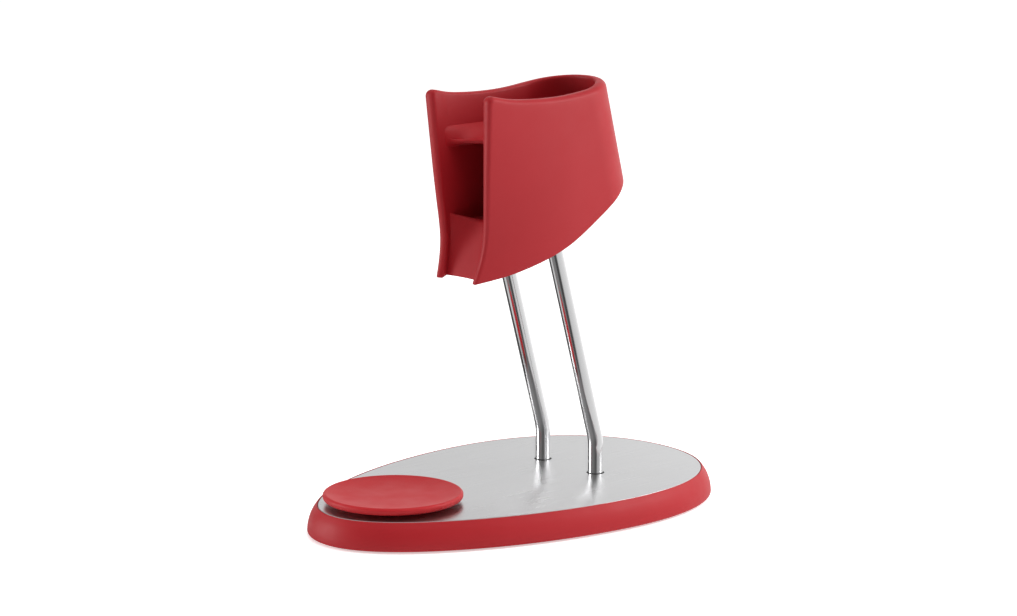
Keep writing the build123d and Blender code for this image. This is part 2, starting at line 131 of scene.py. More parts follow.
# ---- Ballast plate ----
# A laser-cut mild steel plate, painted black against rust, that keeps the stand from tipping forward.
def black_paint():
    """Thin matte black paint with a slight orange peel."""
    material, nodes, links, shader, place = new_material("black_paint", (0.03, 0.03, 0.032), 0.5)
    clouds = grain(nodes, links, place, 250, 4)
    two_tone(nodes, links, clouds, (0.022, 0.022, 0.024), (0.045, 0.045, 0.048), shader)
    links.new(raised(nodes, links, clouds, 0.00005, 0.3), shader.inputs["Normal"])
    return material


dress("ballast_plate", black_paint())


# ---- Bushes and dish locator ----
# Turned natural nylon: two sleeves that keep the rods upright under the plate, and the low disc that the
# dish's foot drops over.
def natural_nylon():
    """Uncoloured nylon: off-white, slightly translucent, finely turned."""
    material, nodes, links, shader, place = new_material("natural_nylon", (0.72, 0.7, 0.64), 0.45)
    shader.inputs["Subsurface Weight"].default_value = 0.1
    shader.inputs["Subsurface Scale"].default_value = 0.002
    clouds = grain(nodes, links, place, 300)
    two_tone(nodes, links, clouds, (0.66, 0.64, 0.58), (0.78, 0.76, 0.7), shader)
    links.new(raised(nodes, links, clouds, 0.00003, 0.25), shader.inputs["Normal"])
    return material


nylon = natural_nylon()
for sleeve in ("rod_bush_left", "rod_bush_right", "dish_locator"):
    dress(sleeve, nylon)


# ---- Base pad ----
# Non-slip black rubber sheet glued under the tray, with a fine pebbled face.
def black_rubber(name, pebble):
    """Matte black rubber, with pebbles of about 1/pebble metres."""
    material, nodes, links, shader, place = new_material(name, (0.018, 0.018, 0.018), 0.75)
    pebbles = grain(nodes, links, place, pebble, 1)
    clouds = grain(nodes, links, place, 60)
    two_tone(nodes, links, clouds, (0.014, 0.014, 0.014), (0.026, 0.026, 0.026), shader)
    links.new(raised(nodes, links, pebbles, 0.0002, 0.5), shader.inputs["Normal"])
    return material


dress("base_pad", black_rubber("pad_rubber", 900))


# ---- Base tray ----
# Red silicone tray that the steel is pushed into. Its rim slopes out from the plate in a soft curve, is
# widest just above the table and rolls under there. Moulded in one piece.
plate_low, plate_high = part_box("base_plate")
tray_low, tray_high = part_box("base_tray")
egg_half_length = (plate_high.y - plate_low.y) / 2
egg_half_width = 69.7 * mm
egg_power = 2.11
egg_taper = 0.22
rim_lip = 0.15 * mm
rim_shoulder = 1.3 * mm
rim_spread = (tray_high.y - tray_low.y) / 2 - egg_half_length
rim_widest = 2.4 * mm
tray_shelf = 5 * mm
tray_floor = 2 * mm
shelf_height = plate_low.z


def on_egg(turn, outset):
    """A point of the base's egg outline, moved outwards by outset."""
    along, across = cos(turn), sin(turn)
    y = egg_half_length * abs(along) ** (2 / egg_power) * (1 if along > 0 else -1)
    x = egg_half_width * abs(across) ** (2 / egg_power) * (1 if across > 0 else -1)
    x *= 1 + egg_taper * y / egg_half_length
    slope = Vector((across / egg_half_width, along / egg_half_length)).normalized()
    return x + outset * slope.x, y + outset * slope.y


def egg_wall(profile, around=240):
    """A closed skin whose cross-section is profile, pairs of outset and height, carried round the egg."""
    bm = bmesh.new()
    bmesh.ops.create_grid(bm, x_segments=around, y_segments=len(profile) - 1, size=0.5)
    for vert in bm.verts:
        outset, height = profile[round((vert.co.y + 0.5) * (len(profile) - 1))]
        x, y = on_egg((vert.co.x + 0.5) * 2 * pi, outset)
        vert.co = (x, y, height)
    bmesh.ops.remove_doubles(bm, verts=bm.verts, dist=1e-6)
    return bm


def arc(centre, radius_x, radius_y, start, end, steps):
    """Points on part of an ellipse, start and end in degrees from +x towards +y."""
    turns = [radians(start + (end - start) * i / steps) for i in range(steps + 1)]
    return [(centre[0] + radius_x * cos(t), centre[1] + radius_y * sin(t)) for t in turns]


def finish_piece(bm, name, material, body, cad_nodes, crease=35):
    """Turns a bmesh into a finished piece: closed, facing outwards, smooth up to a crease angle."""
    bmesh.ops.holes_fill(bm, edges=bm.edges, sides=0)
    bmesh.ops.recalc_face_normals(bm, faces=bm.faces)
    for face in bm.faces:
        face.smooth = True
    for edge in bm.edges:
        edge.smooth = len(edge.link_faces) != 2 or edge.calc_face_angle(0) < radians(crease)
    mesh = bpy.data.meshes.new(name)
    bm.to_mesh(mesh)
    bm.free()
    mesh.materials.append(material)
    piece = bpy.data.objects.new(name, mesh)
    bpy.context.scene.collection.objects.link(piece)
    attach(piece, body)
    if cad_nodes:
        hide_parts(*cad_nodes)
    return piece


def red_silicone(name, deep, bright):
    """Matte soft-touch silicone: even red, a faint drift of shade, and a very fine moulded grain."""
    material, nodes, links, shader, place = new_material(name, bright, 0.5)
    shader.inputs["Specular IOR Level"].default_value = 0.26
    shader.inputs["Sheen Weight"].default_value = 0.03
    shader.inputs["Sheen Roughness"].default_value = 0.45
    shader.inputs["Sheen Tint"].default_value = (1, 0.55, 0.55, 1)
    drift = grain(nodes, links, place, 28, 3)
    two_tone(nodes, links, drift, deep, bright, shader)
    bloom = grain(nodes, links, place, 90, 4)
    links.new(between(nodes, links, bloom, 0.46, 0.56), shader.inputs["Roughness"])
    wave = raised(nodes, links, grain(nodes, links, place, 220, 2), 0.00004, 0.25)
    fine = raised(nodes, links, grain(nodes, links, place, 5200, 1), 0.00002, 0.35, wave)
    links.new(fine, shader.inputs["Normal"])
    return material


silicone = red_silicone("red_silicone", (0.32, 0.007, 0.011), (0.36, 0.010, 0.015))
flank = [(rim_shoulder * 0.75, tray_high.z - 0.35 * mm), (rim_spread * 0.56, 11.4 * mm),
         (rim_spread * 0.82, 8 * mm), (rim_spread * 0.96, 4.8 * mm), (rim_spread, rim_widest)]


def eased(points, steps):
    """More points on a smooth line through the given ones."""
    line = []
    for i in range(len(points) - 1):
        before = points[max(i - 1, 0)]
        start, end = points[i], points[i + 1]
        after = points[min(i + 2, len(points) - 1)]
        for k in range(steps):
            t = k / steps
            pair = []
            for a, b, c, d in zip(before, start, end, after):
                pair.append(0.5 * (2 * b + (c - a) * t + (2 * a - 5 * b + 4 * c - d) * t ** 2
                                   + (3 * b - a - 3 * c + d) * t ** 3))
            line.append(tuple(pair))
    return line + [points[-1]]


roll_under = arc((rim_spread - 1.6 * mm, rim_widest), 1.6 * mm, rim_widest - tray_low.z, 0, -90, 8)
tray_profile = [(-tray_shelf, tray_low.z + tray_floor), (-tray_shelf, shelf_height), (rim_lip, shelf_height),
                (rim_lip, tray_high.z - 0.3 * mm), (rim_lip + 0.12 * mm, tray_high.z - 0.08 * mm),
                (rim_lip + 0.45 * mm, tray_high.z - 0.02 * mm)]
tray_profile += eased(flank, 6) + roll_under[1:]
finish_piece(egg_wall(tray_profile), "tray_skin", silicone, "stand", ["base_tray"])


# ---- Base plate ----
# Stamped stainless sheet, brushed lengthwise, with a rolled edge that catches the light. The rods pass
# through two holes, and a third takes the dish locator's spigot.
plate_edge = 0.55 * mm
rod_low, rod_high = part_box("rod_right")
rod_radius = (rod_high.x - rod_low.x) / 2
rod_x = (rod_high.x + rod_low.x) / 2
rod_y = rod_high.y - rod_radius
gasket_low, gasket_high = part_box("rod_gasket_right")
gasket_radius = (gasket_high.x - gasket_low.x) / 2
dish_low, dish_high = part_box("drip_dish")
dish_y = (dish_low.y + dish_high.y) / 2
spigot_radius = 3 * mm


def brushed_steel():
    """Stainless sheet with fine brush lines along the base."""
    material, nodes, links, shader, place = new_material("brushed_steel", (0.56, 0.56, 0.57), 0.26, 1.0)
    streaks = grain(nodes, links, place, 4200, 2, (1, 0.02, 1))
    long_streaks = grain(nodes, links, place, 1500, 2, (1, 0.02, 1))
    clouds = grain(nodes, links, place, 16, 2)
    two_tone(nodes, links, clouds, (0.575, 0.575, 0.58), (0.6, 0.6, 0.605), shader)
    links.new(between(nodes, links, long_streaks, 0.27, 0.33), shader.inputs["Roughness"])
    links.new(raised(nodes, links, streaks, 0.000005, 0.15), shader.inputs["Normal"])
    return material


def cut_away(piece, tools):
    """Cuts each tool's shape out of a piece, and throws the tools away."""
    for tool in tools:
        modifier = piece.modifiers.new("cut", "BOOLEAN")
        modifier.operation = "DIFFERENCE"
        modifier.solver = "EXACT"
        modifier.object = tool
        evaluated = piece.evaluated_get(bpy.context.evaluated_depsgraph_get())
        mesh = bpy.data.meshes.new_from_object(evaluated)
        piece.modifiers.clear()
        piece.data = mesh
        bpy.data.objects.remove(tool)


def round_bar(start, direction, radius, length, around=64):
    """A bare bar to cut with, from start along a direction."""
    bm = bmesh.new()
    bmesh.ops.create_cone(bm, cap_ends=True, segments=around, radius1=radius, radius2=radius, depth=length,
                          matrix=Matrix.Translation((0, 0, length / 2)))
    turn = Vector((0, 0, 1)).rotation_difference(Vector(direction)).to_matrix().to_4x4()
    bmesh.ops.transform(bm, matrix=Matrix.Translation(start) @ turn, verts=bm.verts)
    mesh = bpy.data.meshes.new("bar")
    bm.to_mesh(mesh)
    bm.free()
    bar = bpy.data.objects.new("bar", mesh)
    bpy.context.scene.collection.objects.link(bar)
    return bar


plate_profile = [(-plate_edge, plate_low.z), (0, plate_low.z)]
plate_profile += arc((-plate_edge, plate_high.z - plate_edge), plate_edge, plate_edge, 0, 90, 6)
plate = finish_piece(egg_wall(plate_profile), "plate_sheet", brushed_steel(), "stand",
                     ["base_plate"])
below_plate = plate_low.z - 2 * mm
through = 6 * mm
cut_away(plate, [round_bar((rod_x, rod_y, below_plate), (0, 0, 1), gasket_radius, through),
                 round_bar((-rod_x, rod_y, below_plate), (0, 0, 1), gasket_radius, through),
                 round_bar((0, dish_y, below_plate), (0, 0, 1), spigot_radius, through)])


# ---- Rod gaskets ----
# Thin black rubber rings that fill the gap between each rod and its hole, and stand a hair proud of the
# plate. Their black is partly the rubber's own colour and partly painted shade: it stands in for the dark
# line of shade in the gap at each rod's foot.
def spun(profile, x, y, around=96):
    """A closed skin of revolution about an upright axis, from pairs of radius and height."""
    bm = bmesh.new()
    verts = [bm.verts.new((radius, 0, height)) for radius, height in profile]
    edges = [bm.edges.new(pair) for pair in zip(verts, verts[1:])]
    bmesh.ops.spin(bm, geom=verts + edges, cent=(0, 0, 0), axis=(0, 0, 1), angle=2 * pi, steps=around,
                   use_merge=True)
    bmesh.ops.remove_doubles(bm, verts=bm.verts, dist=1e-6)
    bmesh.ops.translate(bm, verts=bm.verts, vec=(x, y, 0))
    return bm


# Black rubber that also serves as painted shade: the rings' dark colour draws the shaded gap at each rod's
# foot.
gasket_rubber_gap_shade = black_rubber("gasket_rubber_gap_shade", 2500)
crown = 0.2 * mm
gasket_seen = rod_radius + 0.5 * mm
gasket_profile = [(rod_radius, gasket_low.z)]
gasket_profile += arc((rod_radius + crown, gasket_high.z - crown), crown, crown, 180, 90, 4)
gasket_profile += arc((gasket_seen - crown, gasket_high.z - crown), crown, crown, 90, 0, 4)
gasket_profile += [(gasket_seen, plate_high.z - 0.2 * mm), (gasket_radius, plate_high.z - 0.3 * mm),
                   (gasket_radius, gasket_low.z), (rod_radius, gasket_low.z)]
for side, sign in (("left", -1), ("right", 1)):
    ring = spun(gasket_profile, sign * rod_x, rod_y)
    finish_piece(ring, f"gasket_{side}", gasket_rubber_gap_shade, "stand", [f"rod_gasket_{side}"])


# ---- Rods ----
# Two 8 mm stainless bars, polished bright. Each stands upright in the base, is cold-bent once and leans
# forward into the cradle. The lower end is tapped for the screw that holds it.
rod_bend_height = 32.4 * mm
rod_bend_radius = 25 * mm
rod_lean = radians(15.8)
tap_radius = 2.5 * mm
tap_depth = 12 * mm
bend_tangent = rod_bend_radius * tan(rod_lean / 2)


def polished_steel():
    """Bright stainless bar with faint drawing lines along it."""
    material, nodes, links, shader, place = new_material("polished_steel", (0.74, 0.74, 0.745), 0.11, 1.0)
    drawn = grain(nodes, links, place, 1800, 2, (1, 1, 0.02))
    links.new(between(nodes, links, drawn, 0.09, 0.15), shader.inputs["Roughness"])
    links.new(raised(nodes, links, drawn, 0.000004, 0.2), shader.inputs["Normal"])
    return material


def rod_end_centre(sign):
    """Middle of a rod's upper end, worked from its box."""
    rise = rod_high.z - rod_radius * sin(rod_lean) - rod_bend_height
    return Vector((sign * rod_x, rod_y - tan(rod_lean) * rise, rod_bend_height + rise))


def bent_rod(sign):
    """A rod's skin: a ring drawn up, turned through the bend and drawn on to the upper end."""
    bm = bmesh.new()
    bmesh.ops.create_circle(bm, segments=64, radius=rod_radius,
                            matrix=Matrix.Translation((sign * rod_x, rod_y, rod_low.z)))
    edges = bm.edges[:]
    upright = rod_bend_height - bend_tangent - rod_low.z
    grown = bmesh.ops.extrude_edge_only(bm, edges=edges)["geom"]
    risen = [g for g in grown if isinstance(g, bmesh.types.BMVert)]
    bmesh.ops.translate(bm, verts=risen, vec=(0, 0, upright))
    ring = [g for g in grown if isinstance(g, bmesh.types.BMEdge)]
    pivot = Vector((0, rod_y - rod_bend_radius, rod_bend_height - bend_tangent))
    turned = bmesh.ops.spin(bm, geom=ring + list({v for e in ring for v in e.verts}), cent=pivot,
                            axis=(1, 0, 0), angle=rod_lean, steps=12)["geom_last"]
    ring = [g for g in turned if isinstance(g, bmesh.types.BMEdge)]
    grown = bmesh.ops.extrude_edge_only(bm, edges=ring)["geom"]
    tips = [g for g in grown if isinstance(g, bmesh.types.BMVert)]
    middle = sum((v.co for v in tips), Vector()) / len(tips)
    bmesh.ops.translate(bm, verts=tips, vec=rod_end_centre(sign) - middle)
    bmesh.ops.remove_doubles(bm, verts=bm.verts, dist=1e-6)
    return bm


bright_steel = polished_steel()
for side, sign in (("left", -1), ("right", 1)):
    rod = finish_piece(bent_rod(sign), f"rod_bar_{side}", bright_steel, "stand",
                       [f"rod_{side}"])
    cut_away(rod, [round_bar((sign * rod_x, rod_y, rod_low.z - 1 * mm), (0, 0, 1), tap_radius,
                             tap_depth + 1 * mm)])


# ---- Drip dish ----
# A shallow red silicone dish, loose on the plate. It has a rounded rim, an underside that tapers in to a
# ring foot, and a shallow hollow that catches what drips from the tool.
dish_radius = (dish_high.x - dish_low.x) / 2
rim_round = 1.5 * mm
dish_rim_top = dish_high.z
band_low = dish_rim_top - 3.7 * mm
foot_radius = 26 * mm
foot_wall = 3 * mm
foot_hollow = dish_low.z + 1.3 * mm
dish_floor = foot_hollow + 1.5 * mm
bowl_edge = dish_radius - 2.6 * mm
bowl_edge_height = dish_rim_top - 0.35 * mm
bowl_depth = bowl_edge_height - dish_floor
bowl_power, bowl_steps = 3.4, 24
band_round, band_rise = 1.9 * mm, 1.7 * mm

foot_inside = foot_radius - foot_wall
dish_profile = [(0, foot_hollow), (foot_inside, foot_hollow), (foot_inside, dish_low.z + 0.3 * mm),
                (foot_inside + 0.3 * mm, dish_low.z), (foot_radius - 0.4 * mm, dish_low.z),
                (foot_radius, dish_low.z + 0.4 * mm), (foot_radius + 0.5 * mm, dish_low.z + 0.75 * mm),
                (30 * mm, dish_low.z + 1.75 * mm), (32.6 * mm, band_low - 0.1 * mm)]
dish_profile += arc((dish_radius - band_round, band_low + band_rise), band_round, band_rise, -80, 0, 8)
dish_profile += arc((dish_radius - rim_round, dish_rim_top - rim_round), rim_round, rim_round, 0, 90, 8)
dish_profile += eased([dish_profile[-1], (bowl_edge, bowl_edge_height)], 3)[1:]
for i in range(1, bowl_steps + 1):
    reach = 1 - i / bowl_steps
    dish_profile.append((bowl_edge * reach, dish_floor + bowl_depth * reach ** bowl_power))
finish_piece(spun(dish_profile, 0, dish_y, 144), "dish_bowl",
             red_silicone("dish_silicone", (0.38, 0.008, 0.012), (0.43, 0.012, 0.017)),
             "dish", ["drip_dish"])


# ---- Cradle wall ----
# Soft-touch red silicone skin, moulded as one hairpin that is open to the front. It leans back as it goes
# down, its lips flare forward at the foot and thicken to a bead at the top, and every edge of it is rolled
# round.
shell_low, shell_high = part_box("cradle_shell")
cradle_low, cradle_height = 118 * mm, 107 * mm
cradle_radius = (shell_high.x - shell_low.x) / 2
back_centre, back_height, back_lean = 32.7 * mm, 213 * mm, 0.256
side_bend = 26 * mm
lip_half, lip_flare, lip_flare_power = 12.9 * mm, 10.6 * mm, 0.75
wall_thin, wall_gain = 4.2 * mm, 1.4 * mm
lip_line = [(118.0, -33.6), (126.0, -30.6), (134.0, -28.3), (142.0, -27.0), (150.0, -26.9), (160.0, -27.5),
            (175.0, -28.4), (190.0, -29.1), (207.0, -29.9), (225.0, -30.7)]
hem_line = [(-45.0, 120.1), (-34.0, 122.2), (-10.0, 127.5), (18.0, 137.5), (43.0, 152.4), (60.0, 164.8),
            (85.0, 181.2)]
crest_line = [(-45.0, 219.2), (-29.0, 217.1), (-22.0, 215.7), (-14.0, 214.7), (2.0, 214.1), (18.0, 214.6),
              (34.0, 216.5), (48.0, 219.2), (60.0, 221.1), (85.0, 222.5)]
crest_corner, hem_corner = 4.2 * mm, 1.2 * mm
crest_roll, crest_roll_inside, hem_roll = 2.7 * mm, 1.5 * mm, 0.8 * mm
bead, bead_length = 0.9 * mm, 8 * mm
bead_from, bead_grows = 0.4, 0.5
lip_squareness = 2.4
lip_steps, side_steps, wall_steps, corner_steps = 14, 64, 30, 5
first_guess = 170 * mm


def along_line(points, place):
    """Height of a smooth line through points, at a place; all of it in metres but the points."""
    place = place / mm
    i = max(k for k in range(len(points) - 1) if k == 0 or points[k][0] <= place)

    def slope(k):
        before, after = points[max(k - 1, 0)], points[min(k + 1, len(points) - 1)]
        return (after[1] - before[1]) / (after[0] - before[0])

    (start, start_height), (end, end_height) = points[i], points[i + 1]
    run = end - start
    t = min(max((place - start) / run, 0), 1)
    height = (start_height * (1 + 2 * t) * (1 - t) ** 2 + end_height * t * t * (3 - 2 * t)
              + run * (slope(i) * t * (1 - t) ** 2 - slope(i + 1) * t * t * (1 - t)))
    return height * mm


def fade(t):
    """Smooth step from 0 to 1."""
    t = min(max(t, 0), 1)
    return t * t * (3 - 2 * t)


def hairpin(z):
    """The hairpin's sizes at a height: wall, half width, bend of its sides and its back."""
    share = min(max((z - cradle_low) / cradle_height, 0), 1)
    wall = wall_thin + wall_gain * share
    lip_x = lip_half + lip_flare * share ** lip_flare_power
    middle = cradle_radius - wall / 2
    step, run = middle - lip_x, side_bend - along_line(lip_line, z)
    bend = (run ** 2 + step ** 2) / (2 * step)
    back = back_centre + back_lean * (back_height - z)
    return wall, middle, bend, asin(run / bend), back


def on_wall(distance, z, offset):
    """A point of the right half, at a distance from the lip's tip along the wall, moved off its middle."""
    wall, middle, bend, turn, back = hairpin(z)
    travel = distance - wall / 2
    side = bend * turn
    straight = back - side_bend
    if travel < side:
        angle = turn - max(travel, 0) / bend
        ahead = max(-travel, 0)
        radius = bend + offset
        return (middle - bend + radius * cos(angle) - ahead * sin(angle),
                side_bend - radius * sin(angle) - ahead * cos(angle))
    if travel < side + straight:
        return middle + offset, side_bend + travel - side
    angle = (travel - side - straight) / middle
    return (middle + offset) * cos(angle), back + (middle + offset) * sin(angle)


def half_length(z):
    """Length of one half of the wall's middle line at a height."""
    wall, middle, bend, turn, back = hairpin(z)
    return wall / 2 + bend * turn + back - side_bend + middle * pi / 2


def shell_point(column, row, columns):
    """Places one point of the wall's skin: column runs from lip to lip, row runs round the wall's section."""
    mirror = -1 if column > columns / 2 else 1
    column = min(column, columns - column)

    def reach(z):
        if column <= lip_steps:
            return crest_corner * (1 - cos(pi / 2 * column / lip_steps))
        share = (column - lip_steps) / (columns / 2 - lip_steps)
        return crest_corner + share * (half_length(z) - crest_corner)

    def edge_height(line, corner, up):
        z = first_guess
        for _ in range(5):
            distance = reach(z)
            gap = max(corner - distance, 0)
            cut = corner - sqrt(max(corner ** 2 - gap ** 2, 0))
            z = along_line(line, on_wall(distance, z, 0)[1]) - up * cut
        return z

    def half_wall(z):
        half = hairpin(z)[0] / 2
        gap = max(half - reach(z), 0) / half
        return half * max(1 - gap ** lip_squareness, 0) ** (1 / lip_squareness)

    turn_row = wall_steps + 2 * corner_steps + 2
    outside = row < turn_row
    row = row if outside else 2 * turn_row - 1 - row
    top, low = edge_height(crest_line, crest_corner, 1), edge_height(hem_line, hem_corner, -1)
    top_roll = min(crest_roll if outside else crest_roll_inside, half_wall(top))
    low_roll = min(hem_roll, half_wall(low))
    if row <= corner_steps:
        angle = pi / 2 * row / corner_steps
        z, inset = low + low_roll * (1 - cos(angle)), low_roll * (1 - sin(angle))
    elif row < corner_steps + wall_steps:
        z = low + low_roll + (top - low - low_roll - top_roll) * (row - corner_steps) / wall_steps
        inset = 0
    else:
        angle = pi / 2 * (row - corner_steps - wall_steps) / (corner_steps + 1)
        z, inset = top - top_roll * (1 - sin(angle)), top_roll * (1 - cos(angle))
    distance = reach(z)
    thickness = half_wall(z)
    offset = max(thickness - inset, 0)
    if not outside:
        share = (z - cradle_low) / cradle_height
        near_lip = 1 - fade((distance - bead_length / 2) / bead_length)
        offset += bead * fade((share - bead_from) / bead_grows) * near_lip * (offset / (hairpin(z)[0] / 2))
    x, y = on_wall(distance, z, offset if outside else -offset)
    return mirror * x, y, z


def wrapped(columns, rows, placed):
    """A closed skin from a grid whose rows run round a section and whose columns run along the piece."""
    bm = bmesh.new()
    bmesh.ops.create_grid(bm, x_segments=columns, y_segments=rows, size=0.5)
    for vert in bm.verts:
        column, row = round((vert.co.x + 0.5) * columns), round((vert.co.y + 0.5) * rows)
        vert.co = placed(column, row % rows, columns)
    bmesh.ops.remove_doubles(bm, verts=bm.verts, dist=2e-6)
    bmesh.ops.dissolve_degenerate(bm, edges=bm.edges, dist=1e-6)
    return bm


shell_columns = 2 * (lip_steps + side_steps)
shell_rows = 2 * (wall_steps + 2 * corner_steps + 2)
finish_piece(wrapped(shell_columns, shell_rows, shell_point), "cradle_skin",
             red_silicone("cradle_silicone", (0.285, 0.006, 0.010), (0.32, 0.008, 0.013)),
             "stand", ["cradle_shell"], crease=60)


# ---- Neck saddle ----
# Rigid red plastic insert that fills the cradle's lower end. In front it is a smooth leaning saddle for the
# tool's neck, and behind that it takes the rods, each held by a grub screw.
saddle_low, saddle_high = 122 * mm, 155.6 * mm
saddle_middles = (-29.2 * mm, -11.4 * mm)
saddle_front = -26.5 * mm
saddle_edge = 15.5 * mm
saddle_round = 1.4 * mm
saddle_bite = 0.4 * mm
saddle_start = 0.9
saddle_least_depth = 0.5 * mm
pocket_floor = 150 * mm
pocket_knee, pocket_rise = 24 * mm, 0.57
saddle_hem = 0.4 * mm
insert_gap = 0.05 * mm
insert_reach = 3.2 * mm
face_rows, round_rows, top_rows, back_rows, foot_rows = 20, 6, 18, 6, 20


def on_saddle(across, z, deeper=0):
    """A point of the saddle's face: across runs from -1 at one lip to 1 at the other."""
    share = (z - saddle_low) / (saddle_high - saddle_low)
    wall = hairpin(z)[0]
    half, front = on_wall(saddle_start * wall, z, -wall / 2)
    half += saddle_bite
    depth = max(saddle_middles[0] + (saddle_middles[1] - saddle_middles[0]) * share - front,
                saddle_least_depth)
    radius = (half ** 2 + depth ** 2) / (2 * depth)
    spread = atan2(half, radius - depth)
    arm = radius + deeper
    return Vector((arm * sin(across * spread), front + depth - radius + arm * cos(across * spread)))


def inside_wall(across, z, power=1, start=insert_reach, gap=insert_gap):
    """The matching point on the wall's inner face."""
    half = hairpin(z)[0] / 2
    distance = start + (1 - abs(across)) ** power * (half_length(z) - start)
    x, y = on_wall(distance, z, -half - gap)
    return Vector((x if across > 0 else -x, y))


def saddle_top(y):
    """Height of the insert's top: the saddle's edge drops to the pocket's floor, which rises at the back."""
    drop = (saddle_high - pocket_floor) * min(max((y - saddle_front) / saddle_edge, 0), 1)
    return saddle_high - drop + pocket_rise * max(y - pocket_knee, 0)


def settle(follow, across, level):
    """The point of a face where it meets a level that itself depends on Y."""
    z = pocket_floor
    for _ in range(6):
        z = level(follow(across, z).y)
    flat = follow(across, z)
    return Vector((flat.x, flat.y, z))


def hem_level(y):
    """Height of the insert's underside, just inside the wall's lower edge."""
    return along_line(hem_line, y) + saddle_hem


def saddle_point(column, row, columns):
    """Places one point of the insert's skin: rows go up the face, over the top, down the wall and back."""
    across = 2 * column / columns - 1
    front_low = settle(on_saddle, across, hem_level)
    front_top = settle(on_saddle, across, saddle_top)
    if row <= face_rows:
        z = front_low.z + (front_top.z - saddle_round - front_low.z) * row / face_rows
        flat = on_saddle(across, z)
        return flat.x, flat.y, z
    row -= face_rows
    turn = pi / 2 * min(row, round_rows) / round_rows
    z = front_top.z - saddle_round * (1 - sin(turn))
    edge = on_saddle(across, z, saddle_round * (1 - cos(turn)))
    if row <= round_rows:
        return edge.x, edge.y, z
    row -= round_rows
    back_top = settle(inside_wall, across, saddle_top)
    back_low = settle(inside_wall, across, hem_level)
    if row <= top_rows:
        share = row / top_rows
        x, y = (1 - share) * edge + share * back_top.xy
        return x, y, saddle_top(y)
    row -= top_rows
    if row <= back_rows:
        z = back_top.z + (back_low.z - back_top.z) * row / back_rows
        flat = inside_wall(across, z)
        return flat.x, flat.y, z
    share = (row - back_rows) / foot_rows
    x, y = (1 - share) * back_low.xy + share * front_low.xy
    return x, y, hem_level(y)


red_plastic = red_silicone("insert_plastic", (0.30, 0.006, 0.010), (0.34, 0.008, 0.013))
saddle_columns = 64
saddle_rows = face_rows + round_rows + top_rows + back_rows + foot_rows
finish_piece(wrapped(saddle_columns, saddle_rows, saddle_point), "saddle_insert", red_plastic,
             "stand", ["neck_saddle"], crease=45)


# ---- Shoulder seat ----
# Red plastic shelf glued inside the cradle's upper part. Its top slopes from the wall down to a round inner
# edge, which holds the shoulder of the tool, and it runs out to nothing at the lips.
seat_low, seat_high = 191.4 * mm, 198.6 * mm
seat_thickness = 4 * mm
seat_half, seat_depth = 18.8 * mm, 20.6 * mm
seat_front = -28.6 * mm
seat_tip_lift, seat_tip_drop = 2.6 * mm, 3.4 * mm
seat_round = 1.1 * mm
seat_reach, seat_bite = 1.6 * mm, 0.2 * mm
seat_tip, seat_brim_tip, seat_crown = 0.16, 0.35, 0.16
brim_rows, shelf_rows, wall_rows, under_rows = 10, 20, 4, 14


def seat_point(column, row, columns):
    """Places one point of the seat's skin: rows go round the brim, up the shelf, down the wall and back."""
    across = 2 * column / columns - 1
    away = 1 - abs(across)
    turn = across * pi / 2
    seat_under = seat_low - seat_thickness
    edge = Vector((seat_half * sin(turn), seat_front + seat_depth * cos(turn)))
    rim = seat_high - seat_tip_drop * (1 - fade(away / seat_tip))
    top = inside_wall(across, rim, 2, seat_reach, -seat_bite)
    under = inside_wall(across, seat_under, 2, seat_reach, -seat_bite)
    brim = seat_low + seat_tip_lift * (1 - fade(away / seat_brim_tip))
    inward = (top - edge).normalized()
    start = edge + inward * seat_round
    slope = (rim - brim) / max((top - start).length, 1 * mm)
    if row <= brim_rows:
        swing = pi * row / brim_rows
        x, y = edge + inward * seat_round * (1 - sin(swing))
        return x, y, brim - seat_round - seat_round * cos(swing)
    row -= brim_rows
    if row <= shelf_rows:
        share = row / shelf_rows
        x, y = (1 - share) * start + share * top
        return x, y, brim + (rim - brim) * (share + seat_crown * sin(pi * share) * min(slope, 1))
    row -= shelf_rows
    if row <= wall_rows:
        share = row / wall_rows
        x, y = (1 - share) * top + share * under
        return x, y, rim + (seat_under - rim) * share
    share = (row - wall_rows) / under_rows
    x, y = (1 - share) * under + share * start
    return x, y, seat_under + (brim - 2 * seat_round - seat_under) * share


seat_columns = 72
seat_rows = brim_rows + shelf_rows + wall_rows + under_rows
finish_piece(wrapped(seat_columns, seat_rows, seat_point), "seat_shelf", red_plastic, "stand",
             ["shoulder_seat"], crease=45)


# ---- Studio ----
# A pale floor and a white surround with darker screens on the camera's side, as a maker's studio has, so
# that the bright steel shows its shape. A wide soft light hangs overhead. Two small ones, low at the left
# and behind at the right, pick out the lips and the cradle's flank.
camera_side, camera_rise, camera_distance = radians(48.71), radians(10.51), 1.4
target = Vector((1.95 * mm, 0, 104.97 * mm))
screens = [(-180, 0.9), (-150, 0.8), (-142, 0.06), (-108, 0.06), (-101, 0.75), (-76, 0.75), (-68, 0.26),
           (-16, 0.22),
           (-10, 0.07), (14, 0.07), (27, 0.7), (70, 0.85), (100, 0.95), (140, 1.3), (165, 1.2), (180, 0.95)]


